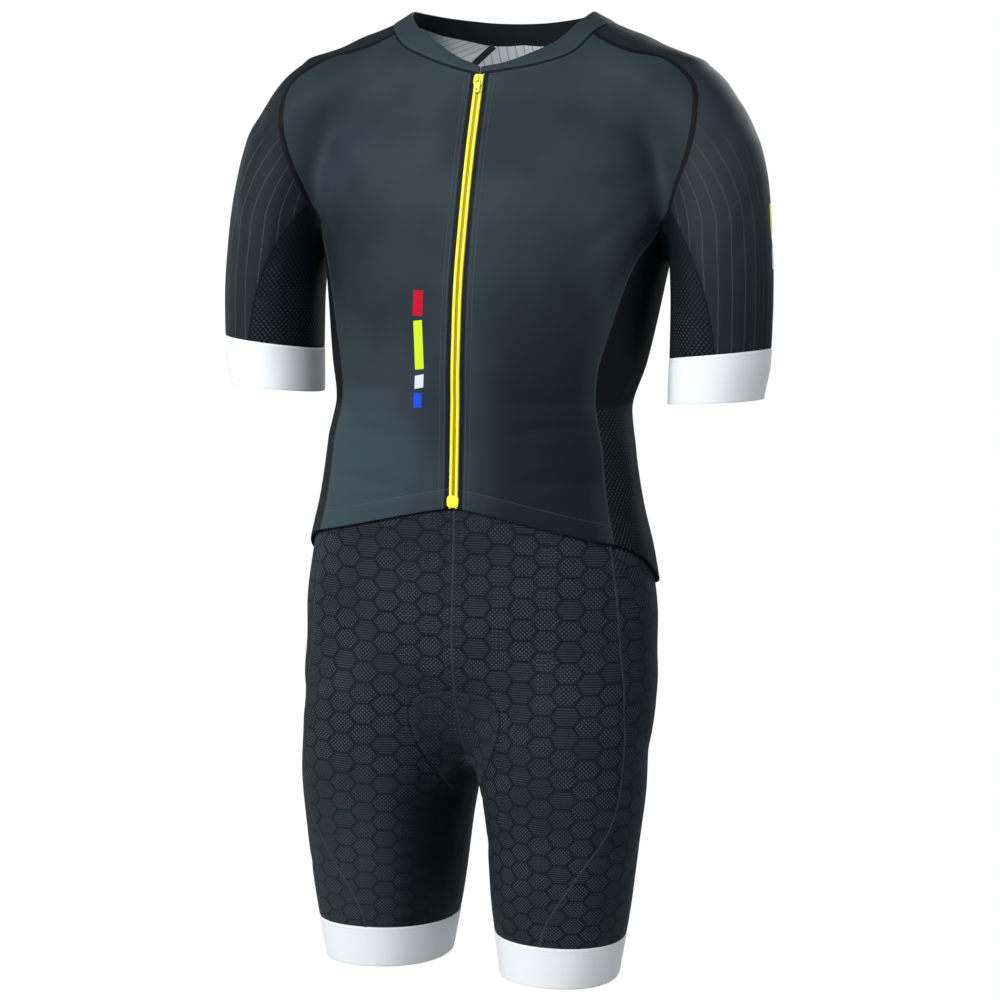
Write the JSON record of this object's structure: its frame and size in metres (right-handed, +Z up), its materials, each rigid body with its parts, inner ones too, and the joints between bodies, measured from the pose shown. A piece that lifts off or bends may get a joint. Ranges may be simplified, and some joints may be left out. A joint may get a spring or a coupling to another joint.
{
  "type": "triathlon suit",
  "caption": "Short-sleeved stretch suit in its worn shape: a zipped top with a dropped tail over padded knee-length shorts, with elastic cuffs.",
  "frame": {"origin": "middle of the shoulder line, between the two places where the wearer's shoulders hold the suit up", "axes": "+Z up, -Y out of the suit's front, +X to the wearer's left"},
  "size_m": [0.5352, 0.2487, 0.9049],
  "materials": {
    "panel_knit": "smooth stretch knit with a soft sheen",
    "side_knit": "plain black knit",
    "mesh_knit": "black mesh knit with small holes",
    "ribbed_knit": "fine ribbed knit with thin light lines",
    "hexagon_knit": "knit with a raised pattern of hexagons",
    "white_elastic": "smooth white elastic",
    "pad_foam": "thin foam covered in knit",
    "yellow_zip": "moulded zip teeth on a tape",
    "yellow_metal": "painted die-cast metal"
  },
  "bodies": {
    "suit": {"front_right": "panel_knit", "front_left": "panel_knit", "back": "ribbed_knit", "side_upper_right": "side_knit", "side_upper_left": "side_knit", "side_lower_right": "mesh_knit", "side_lower_left": "mesh_knit", "sleeve_right": "ribbed_knit", "sleeve_left": "ribbed_knit", "gusset_right": "mesh_knit", "gusset_left": "mesh_knit", "sleeve_cuff_right": "white_elastic", "sleeve_cuff_left": "white_elastic", "neckband": "panel_knit", "shorts_front_right": "hexagon_knit", "shorts_front_left": "hexagon_knit", "shorts_back_right": "hexagon_knit", "shorts_back_left": "hexagon_knit", "pad": "pad_foam", "leg_cuff_right": "white_elastic", "leg_cuff_left": "white_elastic", "zip_right": "yellow_zip", "zip_left": "yellow_zip", "zip_end": "yellow_zip", "zip_slider": "yellow_metal"},
    "pull_tab": {"zip_pull_tab": "yellow_metal"}
  },
  "joints": [
    {"name": "pull_tab_hinge", "type": "hinge", "parent": "suit", "child": "pull_tab", "pos_m": [0, -0.04731, -0.03137], "axis": [-1, 0, 0], "range_deg": [0, 150]}
  ]
}
